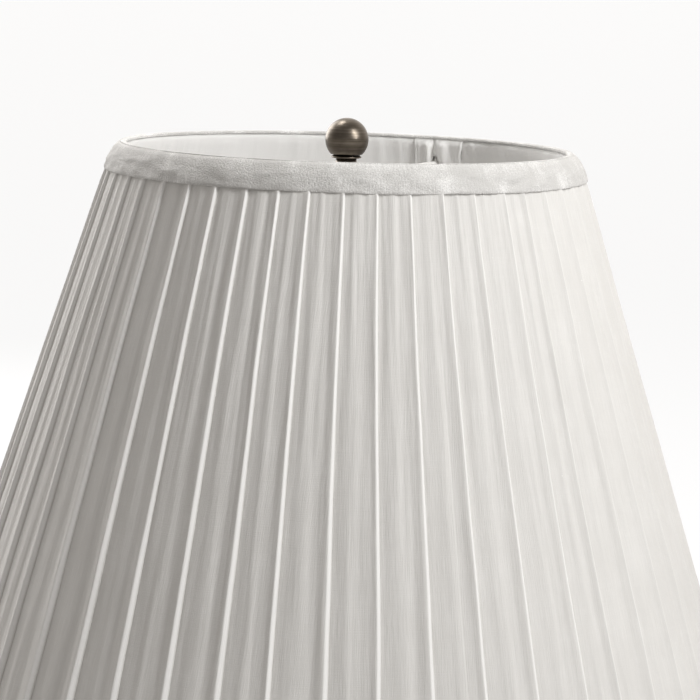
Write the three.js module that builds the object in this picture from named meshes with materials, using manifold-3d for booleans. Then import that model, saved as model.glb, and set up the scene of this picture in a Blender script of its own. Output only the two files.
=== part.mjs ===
// Pleated empire lamp shade: a wire frame that is dressed with a knife-pleated cover, a lining,
// two rolled trims and arm neateners, and held on the lamp by a ball finial.
// Millimetres, +Z up. The origin is on the floor plane under the centre of the shade, and the
// front of the shade looks along -Y. Angles are in degrees, from the front towards +X.

import * as THREE from 'three';
import { mergeVertices } from 'three/addons/utils/BufferGeometryUtils.js';
import Module from 'manifold-3d';

// Overall sizes.
const shadeHeight = 314;
const topDiameter = 254;      // over the pleat folds, at the top face
const bottomDiameter = 457;   // over the pleat folds, at the bottom face

// Fit between pieces that touch, and the facets of every round piece.
const gap = 0.3;
const roundFacets = 48;
const wireFacets = 8;
const turnedFacets = 24;

// Pleated cover.
const pleatCount = 48;        // a multiple of panelCount, and roundFacets is a multiple of it
const panelCount = 4;
const firstFold = -1.3;       // degrees, the fold edge nearest the front
const pleatDepth = 2.8;       // at the bottom
const coverThickness = 1.0;   // at the bottom
const coverSqueeze = 0.6;     // share of the pleat's depth that is left at the top
const pleatCrownAt = 0.36;    // share of a pleat's width
const pleatCrownDepth = 0.45; // share of the pleat's depth
const pleatStep = 0.03;       // share of a pleat's width that the step under a fold takes

// Frame.
const ringWire = 3.2;
const ribWire = 3.0;
const ribCount = 8;
const armWire = 3.2;
const armCount = 3;
const firstArm = 35;          // degrees
const armBend = 5;
const tapeThickness = 0.4;
const tapeCover = 200;        // degrees of each ring's section that its tape covers

// Trims and lining.
const trimHeight = 17;
const trimThickness = 1.3;
const trimLeg = 4.5;
const trimLegThickness = 1.0;
const trimOuterRound = 4;
const trimInnerRound = 3;
const liningThickness = 0.9;
const liningHalves = 2;
const neatenerWidth = 18;
const neatenerThickness = 0.8;
const neatenerBelowArm = 7;   // from the arm's centre line
const neatenerRound = 5;

// Spider washer and finial.
const washerBelowTop = 13;    // from the top of the shade down to the washer's top face
const washerDiameter = 28;
const washerHole = 11.2;
const washerThickness = 1.6;
const ballDiameter = 23.5;
const ballAboveTop = 3.5;     // the ball's centre, over the top of the shade
const ballCut = 8.1;          // the ball's flat, under its centre
const collarDiameter = 16.5;
const collarThickness = 1.7;
const neckDiameter = 11.3;
const footDiameter = 15;
const footEdge = 1.2;
const bushDiameter = 8.4;
const bushLength = 11;
const bushBore = 6.2;
const bushBoreDepth = 7.5;

const wasm = await Module();
wasm.setup();

const linen = { color: 0xe9e6df, roughness: 0.9, metalness: 0 };
const liningCloth = { color: 0xf1efea, roughness: 0.85, metalness: 0 };
const tapeCotton = { color: 0xf4f2ec, roughness: 0.95, metalness: 0 };
const whitePaint = { color: 0xf2f1ee, roughness: 0.4, metalness: 0.1 };
const darkNickel = { color: 0x5a5348, roughness: 0.35, metalness: 1 };

const radians = THREE.MathUtils.degToRad;
const slope = (bottomDiameter - topDiameter) / 2 / shadeHeight;
const slant = Math.hypot(1, slope);
const pleatPitch = 360 / pleatCount;

// Radius of the fold edges at a height.
const foldRadius = (z) => bottomDiameter / 2 - slope * z;

// A point at an angle from the front, a radius and a height.
function at(angle, radius, z) {
  const turn = radians(angle);
  return new THREE.Vector3(radius * Math.sin(turn), -radius * Math.cos(turn), z);
}

// The cover's and the rings' places follow from the pleats' depth at each end.
const coverInset = (squeeze) => (pleatDepth + coverThickness) * squeeze;
const tapedRadius = ringWire / 2 + gap + tapeThickness;
const ringInset = (squeeze) => coverInset(squeeze) + (gap + tapedRadius) * slant;
const liningInset = (squeeze) => ringInset(squeeze) + (gap + tapedRadius) * slant;
const topRingZ = shadeHeight - trimThickness - gap - tapedRadius;
const bottomRingZ = trimThickness + gap + tapedRadius;
const topRingRadius = foldRadius(topRingZ) - ringInset(coverSqueeze);
const bottomRingRadius = foldRadius(bottomRingZ) - ringInset(1);
const coverLow = trimOuterRound * (1 + slope) + gap;
const coverHigh = shadeHeight - trimOuterRound - gap;
const liningLow = trimLeg + gap;
const liningHigh = shadeHeight - trimLeg - gap;
const liningSqueeze = liningInset(coverSqueeze) / liningInset(1);
const washerTop = shadeHeight - washerBelowTop;
const armZ = washerTop - washerThickness - gap - armWire / 2;
const armAngles = Array.from({ length: armCount }, (_, i) => firstArm + i * 360 / armCount);

const shade = new THREE.Group();
shade.name = 'lamp_shade';

function add(name, geometry, finish) {
  const mesh = new THREE.Mesh(geometry, new THREE.MeshStandardMaterial(finish));
  mesh.name = name;
  shade.add(mesh);
  return mesh;
}

// Points of an arc that rounds the corner b between a and c.
function rounded(a, b, c, radius, steps) {
  const toA = a.clone().sub(b).normalize();
  const toC = c.clone().sub(b).normalize();
  const half = Math.acos(THREE.MathUtils.clamp(toA.dot(toC), -1, 1)) / 2;
  const centre = toA.clone().add(toC).normalize().multiplyScalar(radius / Math.sin(half)).add(b);
  const start = toA.clone().multiplyScalar(radius / Math.tan(half)).add(b).sub(centre);
  const end = toC.clone().multiplyScalar(radius / Math.tan(half)).add(b).sub(centre);
  const turn = Math.atan2(start.x * end.y - start.y * end.x, start.dot(end));
  const points = [];
  for (let i = 0; i <= steps; i++) {
    const part = start.clone().rotateAround(new THREE.Vector2(), turn * i / steps);
    points.push(part.add(centre));
  }
  return points;
}

// A closed profile of [radius, height] points, turned round the Z axis.
function turned(profile, facets) {
  const points = profile.map((p) => (p.isVector2 ? p : new THREE.Vector2(...p)));
  if (THREE.ShapeUtils.area(points) < 0) points.reverse();
  if (points[0].x > 0 || points.at(-1).x > 0) points.push(points[0].clone());
  const geometry = new THREE.LatheGeometry(points, facets);
  geometry.rotateX(Math.PI / 2);
  geometry.rotateZ(radians(firstFold));
  return geometry;
}

// A sheet that lies on the cone. Its section is a list of [angle, inset from the fold edges],
// and its insets shrink to the squeeze at its top edge.
function coneSheet(section, low, high, squeeze) {
  const flat = section.map(([angle, inset]) => at(angle, foldRadius(low) - inset, 0));
  const geometry = new THREE.ExtrudeGeometry(new THREE.Shape(flat), {
    depth: high - low,
    bevelEnabled: false,
  });
  const place = geometry.attributes.position;
  for (let i = 0; i < place.count; i++) {
    const [x, y, z] = [place.getX(i), place.getY(i), place.getZ(i)];
    const radius = Math.hypot(x, y);
    const share = 1 - (1 - squeeze) * z / (high - low);
    const scale = (foldRadius(low + z) - (foldRadius(low) - radius) * share) / radius;
    place.setXYZ(i, x * scale, y * scale, low + z);
  }
  geometry.computeVertexNormals();
  return geometry;
}

// A line through points that are stepped through one by one, so that a bend keeps its points.
class WirePath extends THREE.Curve {
  constructor(points) {
    super();
    this.points = points;
  }
  getPoint(t) {
    const last = this.points.length - 1;
    const i = Math.min(Math.floor(t * last), last - 1);
    return this.points[i].clone().lerp(this.points[i + 1], t * last - i);
  }
  getPointAt(t) {
    return this.getPoint(t);
  }
  getTangentAt(t) {
    return this.getTangent(t);
  }
}

function wire(points, diameter) {
  const section = new THREE.Shape();
  section.absarc(0, 0, diameter / 2, 0, 2 * Math.PI);
  const round = new THREE.Shape(section.getSpacedPoints(wireFacets).slice(0, wireFacets));
  return new THREE.ExtrudeGeometry(round, {
    steps: points.length - 1,
    extrudePath: new WirePath(points),
  });
}

// Points of a ring wire's section, from one angle to another, at a distance from its centre.
function ringSection(radius, z, distance, from, to, steps) {
  const points = [];
  for (let i = 0; i <= steps; i++) {
    const turn = radians(from + (to - from) * i / steps);
    points.push([radius + distance * Math.cos(turn), z + distance * Math.sin(turn)]);
  }
  return points;
}

function ring(radius, z) {
  const step = 360 / wireFacets;
  return turned(ringSection(radius, z, ringWire / 2, 0, 360 - step, wireFacets - 1), roundFacets);
}

// Tape round a ring, open on the side where the ribs and arms are welded.
function ringTape(radius, z, middle) {
  const inner = ringWire / 2 + gap;
  const outer = inner + tapeThickness;
  const from = middle - tapeCover / 2;
  const to = middle + tapeCover / 2;
  const steps = wireFacets - 2;
  const outside = ringSection(radius, z, outer, from, to, steps);
  const inside = ringSection(radius, z, inner / Math.cos(radians(tapeCover / steps / 2)), to, from, steps);
  return turned([...outside, ...inside], roundFacets);
}

function rib(angle) {
  const top = at(angle, topRingRadius, topRingZ);
  const bottom = at(angle, bottomRingRadius, bottomRingZ);
  const along = top.clone().sub(bottom).normalize();
  const end = ringWire / 2 + gap;
  return wire([bottom.addScaledVector(along, end), top.addScaledVector(along, -end)], ribWire);
}

// Centre line of a spider arm: down beside the ribs, round a bend and level in to the washer.
function armLine(angle) {
  const start = topRingZ - ringWire / 2 - gap;
  const profile = [
    new THREE.Vector2(topRingRadius + slope * (topRingZ - start), start),
    new THREE.Vector2(topRingRadius + slope * (topRingZ - armZ), armZ),
    new THREE.Vector2(washerHole / 2 + armWire / 2, armZ),
  ];
  const bend = rounded(...profile, armBend, 5);
  return [profile[0], ...bend, profile[2]].map((p) => at(angle, p.x, p.y));
}

// One width of the pleated cover. Each fold edge lies over the next pleat's recess.
function pleatedPanel(index) {
  const pleats = pleatCount / panelCount;
  const start = firstFold + index * pleats * pleatPitch;
  const seam = THREE.MathUtils.radToDeg(gap / topDiameter);
  const outside = [];
  const inside = [];
  for (let i = 0; i < pleats; i++) {
    const fold = start + i * pleatPitch;
    const next = fold + pleatPitch - (i === pleats - 1 ? seam : 0);
    outside.push([fold + pleatStep * pleatPitch, pleatDepth]);
    outside.push([fold + pleatCrownAt * pleatPitch, pleatDepth * pleatCrownDepth]);
    outside.push([next, 0]);
    inside.unshift([fold + (i === 0 ? seam : 0), coverInset(1)]);
  }
  inside.unshift([start + pleats * pleatPitch - seam, coverInset(1)]);
  return coneSheet([...outside, ...inside], coverLow, coverHigh, coverSqueeze);
}

// A geometry as a closed solid for the cuts.
function solid(geometry) {
  const bare = geometry.clone();
  bare.deleteAttribute('normal');
  bare.deleteAttribute('uv');
  const merged = mergeVertices(bare, 1e-4);
  return new wasm.Manifold(new wasm.Mesh({
    numProp: 3,
    vertProperties: new Float32Array(merged.attributes.position.array),
    triVerts: new Uint32Array(merged.index.array),
  }));
}

// A geometry with the tools' solids taken away from it.
function cut(geometry, tools) {
  const left = tools.reduce((body, tool) => body.subtract(solid(tool)), solid(geometry));
  const mesh = left.getMesh();
  const result = new THREE.BufferGeometry();
  result.setAttribute('position', new THREE.BufferAttribute(mesh.vertProperties, 3));
  result.setIndex(new THREE.BufferAttribute(mesh.triVerts, 1));
  result.computeVertexNormals();
  return result;
}

// Half of the lining, with a slit for each spider arm.
function liningHalf(index) {
  const facets = roundFacets / liningHalves;
  const pitch = 360 / roundFacets;
  const start = firstFold + 90 + pitch * facets * index;
  const seam = THREE.MathUtils.radToDeg(gap / topDiameter);
  const outside = [];
  const inside = [];
  for (let i = 0; i <= facets; i++) {
    const trim = i === 0 ? seam : i === facets ? -seam : 0;
    outside.push([start + i * pitch + trim, liningInset(1)]);
    inside.unshift([start + i * pitch + trim, liningInset(1) + liningThickness]);
  }
  const sheet = coneSheet([...outside, ...inside], liningLow, liningHigh, liningSqueeze);
  return cut(sheet, armAngles.map((angle) => wire(armLine(angle), armWire + 2 * gap)));
}

// A strip of lining cloth that hugs the underside of an arm and runs up to the ring.
function neatener(angle) {
  const half = neatenerWidth / 2;
  const corner = half - neatenerRound;
  const slit = armWire / 2 * slant + gap;
  const slitZ = -neatenerThickness * slope;
  const top = (liningHigh - armZ) * slant - gap;
  const outline = new THREE.Shape();
  outline.absarc(-corner, neatenerRound - neatenerBelowArm, neatenerRound, Math.PI, 1.5 * Math.PI);
  outline.absarc(corner, neatenerRound - neatenerBelowArm, neatenerRound, 1.5 * Math.PI, 2 * Math.PI);
  outline.lineTo(half, top);
  outline.lineTo(slit, top);
  outline.absarc(0, slitZ, slit, 0, Math.PI, true);
  outline.lineTo(-slit, top);
  outline.lineTo(-half, top);
  const geometry = new THREE.ExtrudeGeometry(outline, {
    depth: neatenerThickness,
    bevelEnabled: false,
    curveSegments: 4,
  });
  geometry.rotateX(Math.PI / 2 - Math.atan(slope));
  geometry.rotateZ(radians(angle));
  const wall = foldRadius(armZ) - liningInset(coverSqueeze) - liningThickness;
  const sag = wall * (1 - Math.cos(Math.PI / roundFacets)) + half ** 2 / 2 / wall;
  const place = at(angle, wall - sag - (gap + neatenerThickness) * slant, armZ);
  geometry.translate(place.x, place.y, place.z);
  return geometry;
}

// A trim that is rolled over one end of the shade: a wall outside the folds, a face and a leg.
function trim(face, inward, squeeze) {
  const outside = (z) => foldRadius(z) + (gap + trimThickness) * slant;
  const legOutside = (z) => foldRadius(z) - liningInset(squeeze);
  const legInside = (z) => legOutside(z) - trimLegThickness * slant;
  const hem = face + inward * trimHeight;
  const tip = face + inward * trimLeg;
  const under = face + inward * trimThickness;
  const corners = [
    [outside(hem), hem],
    [outside(face), face],
    [legInside(face), face],
    [legInside(tip), tip],
    [legOutside(tip), tip],
    [legOutside(under), under],
    [outside(under) - trimThickness * slant, under],
    [outside(hem) - trimThickness * slant, hem],
  ].map((p) => new THREE.Vector2(...p));
  const around = (i, radius) => rounded(corners[i - 1], corners[i], corners[i + 1], radius, 3);
  return turned([
    corners[0],
    ...around(1, trimOuterRound),
    ...around(2, trimInnerRound),
    corners[3],
    corners[4],
    ...around(5, trimInnerRound - trimLegThickness),
    ...around(6, trimOuterRound - trimThickness),
    corners[7],
  ], roundFacets);
}

function washer() {
  const low = washerTop - washerThickness;
  return turned([
    [washerHole / 2, low],
    [washerDiameter / 2, low],
    [washerDiameter / 2, washerTop],
    [washerHole / 2, washerTop],
  ], turnedFacets);
}

// The finial's pieces are stacked on the washer: foot, collar and ball, on one threaded bush.
const footLow = washerTop + gap;
const ballZ = shadeHeight + ballAboveTop;
const collarHigh = ballZ - ballCut - gap;
const collarLow = collarHigh - collarThickness;
const footHigh = collarLow - gap;
const bushSeat = bushDiameter / 2 + gap;
const bushHigh = footLow + bushLength;

function finialBall() {
  const radius = ballDiameter / 2;
  const low = -Math.asin(ballCut / radius);
  const points = [[0, bushHigh + gap], [bushSeat, bushHigh + gap], [bushSeat, ballZ - ballCut]];
  const steps = 10;
  for (let i = 0; i <= steps; i++) {
    const turn = low + (Math.PI / 2 - low) * i / steps;
    points.push([i === steps ? 0 : radius * Math.cos(turn), ballZ + radius * Math.sin(turn)]);
  }
  return turned(points, turnedFacets);
}

function finialCollar() {
  const radius = collarDiameter / 2;
  const edge = collarThickness / 4;
  return turned([
    [bushSeat, collarLow],
    [radius - edge, collarLow],
    [radius, collarLow + edge],
    [radius, collarHigh - edge],
    [radius - edge, collarHigh],
    [bushSeat, collarHigh],
  ], turnedFacets);
}

function finialFoot() {
  const waist = (footLow + footHigh) / 2;
  return turned([
    [bushSeat, footLow],
    [footDiameter / 2, footLow],
    [footDiameter / 2, footLow + footEdge],
    [neckDiameter / 2, waist + footEdge],
    [neckDiameter / 2, footHigh],
    [bushSeat, footHigh],
  ], turnedFacets);
}

function finialBush() {
  return turned([
    [bushBore / 2, footLow],
    [bushDiameter / 2, footLow],
    [bushDiameter / 2, bushHigh],
    [0, bushHigh],
    [0, footLow + bushBoreDepth],
    [bushBore / 2, footLow + bushBoreDepth],
  ], turnedFacets);
}

add('top_ring', ring(topRingRadius, topRingZ), whitePaint);
add('bottom_ring', ring(bottomRingRadius, bottomRingZ), whitePaint);
for (let i = 0; i < ribCount; i++) {
  add(`rib_${i + 1}`, rib(firstFold + i * 360 / ribCount), whitePaint);
}
armAngles.forEach((angle, i) => {
  add(`spider_arm_${i + 1}`, wire(armLine(angle), armWire), whitePaint);
  add(`arm_neatener_${i + 1}`, neatener(angle), liningCloth);
});
add('spider_washer', washer(), whitePaint);
add('top_ring_tape', ringTape(topRingRadius, topRingZ, 90), tapeCotton);
add('bottom_ring_tape', ringTape(bottomRingRadius, bottomRingZ, 270), tapeCotton);
for (let i = 0; i < liningHalves; i++) {
  add(`lining_half_${i + 1}`, liningHalf(i), liningCloth);
}
for (let i = 0; i < panelCount; i++) {
  add(`pleated_panel_${i + 1}`, pleatedPanel(i), linen);
}
add('top_trim', trim(shadeHeight, -1, coverSqueeze), linen);
add('bottom_trim', trim(0, 1, 1), linen);
add('finial_ball', finialBall(), darkNickel);
add('finial_collar', finialCollar(), darkNickel);
add('finial_foot', finialFoot(), darkNickel);
add('finial_bush', finialBush(), darkNickel);

export default shade;
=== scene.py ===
import math
import random

import bmesh
import bpy
import numpy as np
from mathutils import Matrix, Vector, noise


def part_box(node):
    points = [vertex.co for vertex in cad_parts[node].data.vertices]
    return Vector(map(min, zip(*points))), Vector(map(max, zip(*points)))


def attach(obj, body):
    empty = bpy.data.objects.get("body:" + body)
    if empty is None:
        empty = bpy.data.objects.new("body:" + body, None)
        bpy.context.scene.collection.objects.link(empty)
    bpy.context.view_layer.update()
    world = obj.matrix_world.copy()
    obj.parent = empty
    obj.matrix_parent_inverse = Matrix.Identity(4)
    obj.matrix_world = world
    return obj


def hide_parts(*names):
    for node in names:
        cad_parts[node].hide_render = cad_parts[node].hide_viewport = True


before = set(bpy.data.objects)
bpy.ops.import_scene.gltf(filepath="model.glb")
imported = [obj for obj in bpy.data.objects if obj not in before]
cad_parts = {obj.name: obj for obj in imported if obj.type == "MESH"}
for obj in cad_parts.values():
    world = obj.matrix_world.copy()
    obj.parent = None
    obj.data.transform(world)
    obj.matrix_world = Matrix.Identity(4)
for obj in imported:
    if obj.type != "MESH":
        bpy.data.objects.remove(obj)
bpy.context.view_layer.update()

MM = 0.001

# Angles are in degrees from the front of the shade towards +X, as in the frame.

# The pleated cover.
PLEATS = 48
PANELS = 4
FIRST_FOLD = -1.3
CLOTH_PER_PLEAT = 38 * MM
LINEN_THICKNESS = 0.32 * MM
PLEAT_ROWS = 46
# The folds' places, as shares of a pleat: how far they all stray, and how far each does.
FOLD_LEAN = 0.09
FOLD_TWIST = 0.075
TWIST_START = 0.6
TWIST_RUN = 0.4
FOLD_JITTER = 0.055
FOLD_WANDER = 0.012
# Folds that stand off their even places, as shares of a pleat, by their number from the front.
STRAY_FOLDS = {-5: 0.06, -4: 0.03, -3: 0.06, -2: 0.06, -1: -0.03, 0: -0.005, 1: -0.03, 2: -0.025,
               3: -0.02, 4: 0.035, 5: 0.14}
# Each pleat's face, as shares of its depth and width: the height and place of its crown, the drop to
# the dip after it and the height of the fold edge. Each is drawn from a range and drifts up the pleat.
CROWN = (0.50, 0.66)
CROWN_DRIFT = 0.10
CROWN_AT = (0.34, 0.50)
CROWN_SWAY = 0.06
DIP = (0.10, 0.26)
EDGE = (0.93, 1.0)
EDGE_DRIFT = 0.05
SLACK = 0.06
# The place where the face meets the fold edge, as a share of the width, and how much earlier it comes
# at the bottom.
LIP = 0.985
LIP_SHRINK = 0.030
# The cover sinks in between the rings and is pressed flat under the trims.
SINK = 1.0 * MM
SINK_RISE = 12 * MM
PRESSED_FLAT = 0.75
PRESS_RUN = 4 * MM
PRESS_AHEAD = 1 * MM
# Soft upright creases in the linen: depth, noise layer, and noise steps per degree and per metre.
CREASES = ((0.32 * MM, 42, 0.6, 13), (0.30 * MM, 40, 1.1, 21), (0.07 * MM, 41, 3.2, 30))

# The trims, which are a little shorter here than their CAD nodes. They lie against the pleats pressed
# flat under them, so their faces stand inside the open fold edges' cone.
TRIM_SHORTER = 2.6 * MM
TRIM_OFF_FOLDS = -1.5 * MM
TRIM_PROUD = -1.0 * MM
TRIM_TURN = 5 * MM
TRIM_THICKNESS = 0.4 * MM
TRIM_LEG = 1.5 * MM
TRIM_STEPS = 420
TRIM_SEAM = 180
TRIM_OVERLAP = 5
# Dents and puffs in a trim: depth, how many round it, how many over its section, noise layer.
TRIM_DENTS = ((0.5 * MM, 4.5, 1.4, 0), (0.9 * MM, 10, 6, 5), (0.55 * MM, 24, 14, 8))
# The seam's lap: how far it stands out, the angle where it starts, the degrees that it rises over and
# the share of the section that it takes. The dents keep to the wall's share of the section.
TRIM_LAP = 0.55 * MM
LAP_START = TRIM_SEAM + 356
LAP_RISE = 4
LAP_SHARE = 0.75
WALL_SHARE = 0.72

# The lining and the neateners.
LINING_THICKNESS = 0.25 * MM
LINING_STEPS = 260
LINING_ROWS = 60
LINING_CROWDING = 0.7
LINING_CLEAR = 0.5 * MM
LINING_TUCK = 1.0 * MM
# Gathers in the lining: the distance in mm over which they fade away from a ring, their depths in mm,
# and how many degrees from an arm they are pulled deeper.
GATHER_FADE = 16
GATHER_WIDE = 0.9
GATHER_TIGHT = 0.5
GATHER_PULL = 1.6
GATHER_SLACK = 0.25
PULL_SPREAD = 16
ARM_ANGLES = (35, 155, 275)
ARM_HOLE = 3.2 * MM
NEATENER_RADIUS = 7.4 * MM
NEATENER_CLOSE = 1.3 * MM
NEATENER_HALF_WIDTH = 5.6 * MM
NEATENER_FLARE = 8.5 * MM
NEATENER_PUFF = 2.8 * MM
NEATENER_CLEAR = 0.2 * MM
NEATENER_SETTLE = 3 * MM
NEATENER_FLARE_FADE = 1.8
NEATENER_WANDER = 0.12
NEATENER_GATHERS = 0.3
NEATENER_LEAST = 0.08
NEATENER_STEPS = 22
NEATENER_LEG_STEPS = 14
NEATENER_TURN_STEPS = 22

# The wire frame.
RIBS = 8
RIB_RADIUS = 1.5 * MM
ARM_BEND = 5 * MM
BEND_STEPS = 8
WIRE_SIDES = 20
RING_SIDES = 14
RING_STEPS = 180
TAPE_TURN = 256
TAPE_THICKNESS = 0.25 * MM
TAPE_LAP = 0.15 * MM
TAPE_LAPS_PER_DEGREE = 0.55
TAPE_CLEAR = 0.2 * MM
TAPE_STEPS = 18
TAPE_AROUND = 720
TAPE_MIDDLES = {"top": 108, "bottom": 288}
WASHER_EDGE = 0.35 * MM
FIT = 0.3 * MM

# The finial.
FINIAL_STEPS = 128
# The ball is drawn this much wider than its CAD node.
BALL_ROUND = 1.002
BALL_STEPS = 56
COLLAR_BEAD = 0.26
NECK_RADIUS = 5.65 * MM
BORE_DEPTH = 7.5 * MM
THREAD_PITCH = 25.4 / 27 * MM
THREAD_DEPTH = 0.35 * MM
THREAD_WALL = 1.1 * MM
BUSH_EDGE = 0.2 * MM
BUSH_STEPS = 64

# The studio. Softboxes: azimuth and elevation in degrees; distance, width and height in metres;
# power in watts.
KEY = (50, 33, 1.15, 0.18, 0.8, 9.8)
RIM = (-140, 17, 1.2, 0.7, 0.9, 8)
OVERHEAD = (-138, 64, 0.9, 0.32, 0.16, 2.3)
SOFTBOX_AIM = 0.8
WHITE = (1, 1, 1, 1)
# The room's light from the front and from the back, its strength as the camera sees it, its warmth,
# and the Y of the directions between which it changes.
ROOM_FRONT = 0.29
ROOM_BACK = 1.4
ROOM_SEEN = 0.955
ROOM_WARMTH = (1, 0.955, 0.91, 1)
ROOM_NEAR_Y = -0.3
ROOM_FAR_Y = 1.0
# The floor: its radius in metres, how far it lies below the shade, its colours and how it glows.
FLOOR_RADIUS = 300
FLOOR_DROP = 0.2 * MM
FLOOR_COLOUR = (0.12, 0.12, 0.12, 1)
FLOOR_GLOWS = [(0, (1, 0.965, 0.93)), (1, (1, 1, 1))]
FLOOR_GLOW = 0.28
FLOOR_LIFT = 0.53
# The camera's place in rim radii from the shade's top centre, its lens in mm and its turns in degrees.
EYE_BACK = 12
EYE_UP = 0.8115
LENS = 144.3
SENSOR_WIDTH = 36
VIEW_END = 1000
EYE_TURNS = ((-0.195, "Z"), (90 - 8.025, "X"), (1.75, "Z"))

# Helpers: spacing of noise layers, sharpness of ridges, and the nearness that counts as the same.
LAYER_GAP = 7.31
RIDGE_GAIN = 1.8
SAME_HEIGHT = 0.01 * MM
WELD = 0.001 * MM
CORNER_CUT = 0.25
CORNER_ROUNDS = 2


def seeded(*key):
    """Random numbers that are the same every time for one key."""
    return random.Random("-".join(str(k) for k in key))


def drift(seed, x, y=0.0):
    """Smooth noise from -1 to 1."""
    return noise.noise(Vector((x, y, seed * LAYER_GAP)))


def ridge(seed, x, y=0.0):
    """Noise from 0 to 1 with soft hills between sharp creases."""
    return min(1.0, abs(drift(seed, x, y)) * RIDGE_GAIN)


def at(angle, radius, z):
    """The point at that angle from the front, radius and height."""
    turn = math.radians(angle)
    return Vector((radius * math.sin(turn), -radius * math.cos(turn), z))


def points_of(node):
    """The points of a CAD node's mesh."""
    return [v.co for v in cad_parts[node].data.vertices]


def wall(node, pick):
    """Radius of a straight-walled node as a function of height. pick is max for its outer face."""
    low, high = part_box(node)
    points = points_of(node)

    def radius_at(z):
        return pick(math.hypot(p.x, p.y) for p in points if abs(p.z - z) < SAME_HEIGHT)

    foot, head = radius_at(low.z), radius_at(high.z)
    return lambda z: foot + (head - foot) * (z - low.z) / (high.z - low.z)


def reach(node, pick):
    """The least or greatest radius of a node's points."""
    return pick(math.hypot(p.x, p.y) for p in points_of(node))


fold_line = wall("pleated_panel_1", max)
cover_back = wall("pleated_panel_1", min)
lining_face = wall("lining_half_1", min)
cover_low, cover_high = (p.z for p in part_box("pleated_panel_1"))
shade_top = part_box("top_trim")[1].z
lining_low, lining_high = (p.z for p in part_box("lining_half_1"))
TRIM_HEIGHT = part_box("bottom_trim")[1].z - TRIM_SHORTER
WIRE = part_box("top_ring")[1].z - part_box("top_ring")[0].z
top_leg, bottom_leg = (reach(node, min) for node in ("top_trim", "bottom_trim"))
slope = (fold_line(cover_low) - fold_line(cover_high)) / (cover_high - cover_low)
slant = math.hypot(1, slope)


def softened(line):
    """Cuts the corners of an open line of points until it is smooth."""
    line = np.asarray(line, float)
    for _ in range(CORNER_ROUNDS):
        a, b = line[:-1], line[1:]
        near, far = 1 - CORNER_CUT, CORNER_CUT
        cut = np.stack([a * near + b * far, a * far + b * near], axis=1)
        line = np.concatenate([line[:1], cut.reshape(-1, line.shape[1])[1:-1], line[-1:]])
    return line


def finished(name, bm, material, smooth=True):
    """Turns a built mesh into a piece of the scene with one material."""
    mesh = bpy.data.meshes.new(name)
    bm.to_mesh(mesh)
    bm.free()
    mesh.materials.append(material)
    for face in mesh.polygons:
        face.use_smooth = smooth
    piece = bpy.data.objects.new(name, mesh)
    bpy.context.scene.collection.objects.link(piece)
    return piece


def cloth(name, rows, thickness, material, holes=(), edge_wear_and_highlights=None, even=True):
    """A sheet of cloth laid on rows of points, with a UV map in metres along its threads. even runs
    the threads straight across the rows. holes are (centre, radius) pairs that are left open. rubs
    says how much paler each point is painted: partly pressed wear, partly a painted highlight."""
    grid = np.array([[tuple(p) for p in row] for row in rows])
    tall, wide = grid.shape[:2]
    across = np.linalg.norm(np.diff(grid, axis=1), axis=2)
    along = np.linalg.norm(np.diff(grid, axis=0), axis=2).mean(axis=1)
    if even:
        across = np.broadcast_to(across.mean(axis=0), across.shape)
    warp = np.concatenate([np.zeros((tall, 1)), np.cumsum(across, axis=1)], axis=1)
    weft = np.concatenate([[0], np.cumsum(along)])
    half = 0.5
    bm = bmesh.new()
    bmesh.ops.create_grid(bm, x_segments=wide - 1, y_segments=tall - 1, size=half)
    threads = bm.loops.layers.uv.new("threads")
    # How much paler each point is painted: partly pressed wear, partly a painted highlight on the fold
    # edges.
    edge_wear_and_highlight = bm.verts.layers.float.new("edge_wear_and_highlight")
    for vert in bm.verts:
        i = round((vert.co.x + half) * (wide - 1))
        j = round((vert.co.y + half) * (tall - 1))
        vert.index = j * wide + i
        vert.co = grid[j, i]
        vert[edge_wear_and_highlight] = edge_wear_and_highlights[j][i] if edge_wear_and_highlights else 0.0
    for face in bm.faces:
        for loop in face.loops:
            j, i = divmod(loop.vert.index, wide)
            loop[threads].uv = (warp[j, i], weft[j])
    for centre, radius in holes:
        inside = [f for f in bm.faces if (f.calc_center_median() - centre).length < radius]
        bmesh.ops.delete(bm, geom=inside, context="FACES")
    piece = finished(name, bm, material)
    solid = piece.modifiers.new("thickness", "SOLIDIFY")
    solid.thickness = thickness
    solid.offset = 0
    return piece


def turned(name, profile, material, steps=96):
    """A profile of (radius, height) points spun round the Z axis."""
    bm = bmesh.new()
    verts = [bm.verts.new((radius, 0, z)) for radius, z in profile]
    edges = [bm.edges.new(pair) for pair in zip(verts, verts[1:])]
    if profile[0][0] > 0 or profile[-1][0] > 0:
        edges.append(bm.edges.new((verts[-1], verts[0])))
    bmesh.ops.spin(bm, geom=verts + edges, cent=(0, 0, 0), axis=(0, 0, 1), angle=math.tau,
                   steps=steps, use_merge=True, use_duplicate=False)
    bmesh.ops.remove_doubles(bm, verts=bm.verts, dist=WELD)
    bmesh.ops.recalc_face_normals(bm, faces=bm.faces)
    return finished(name, bm, material)


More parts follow.
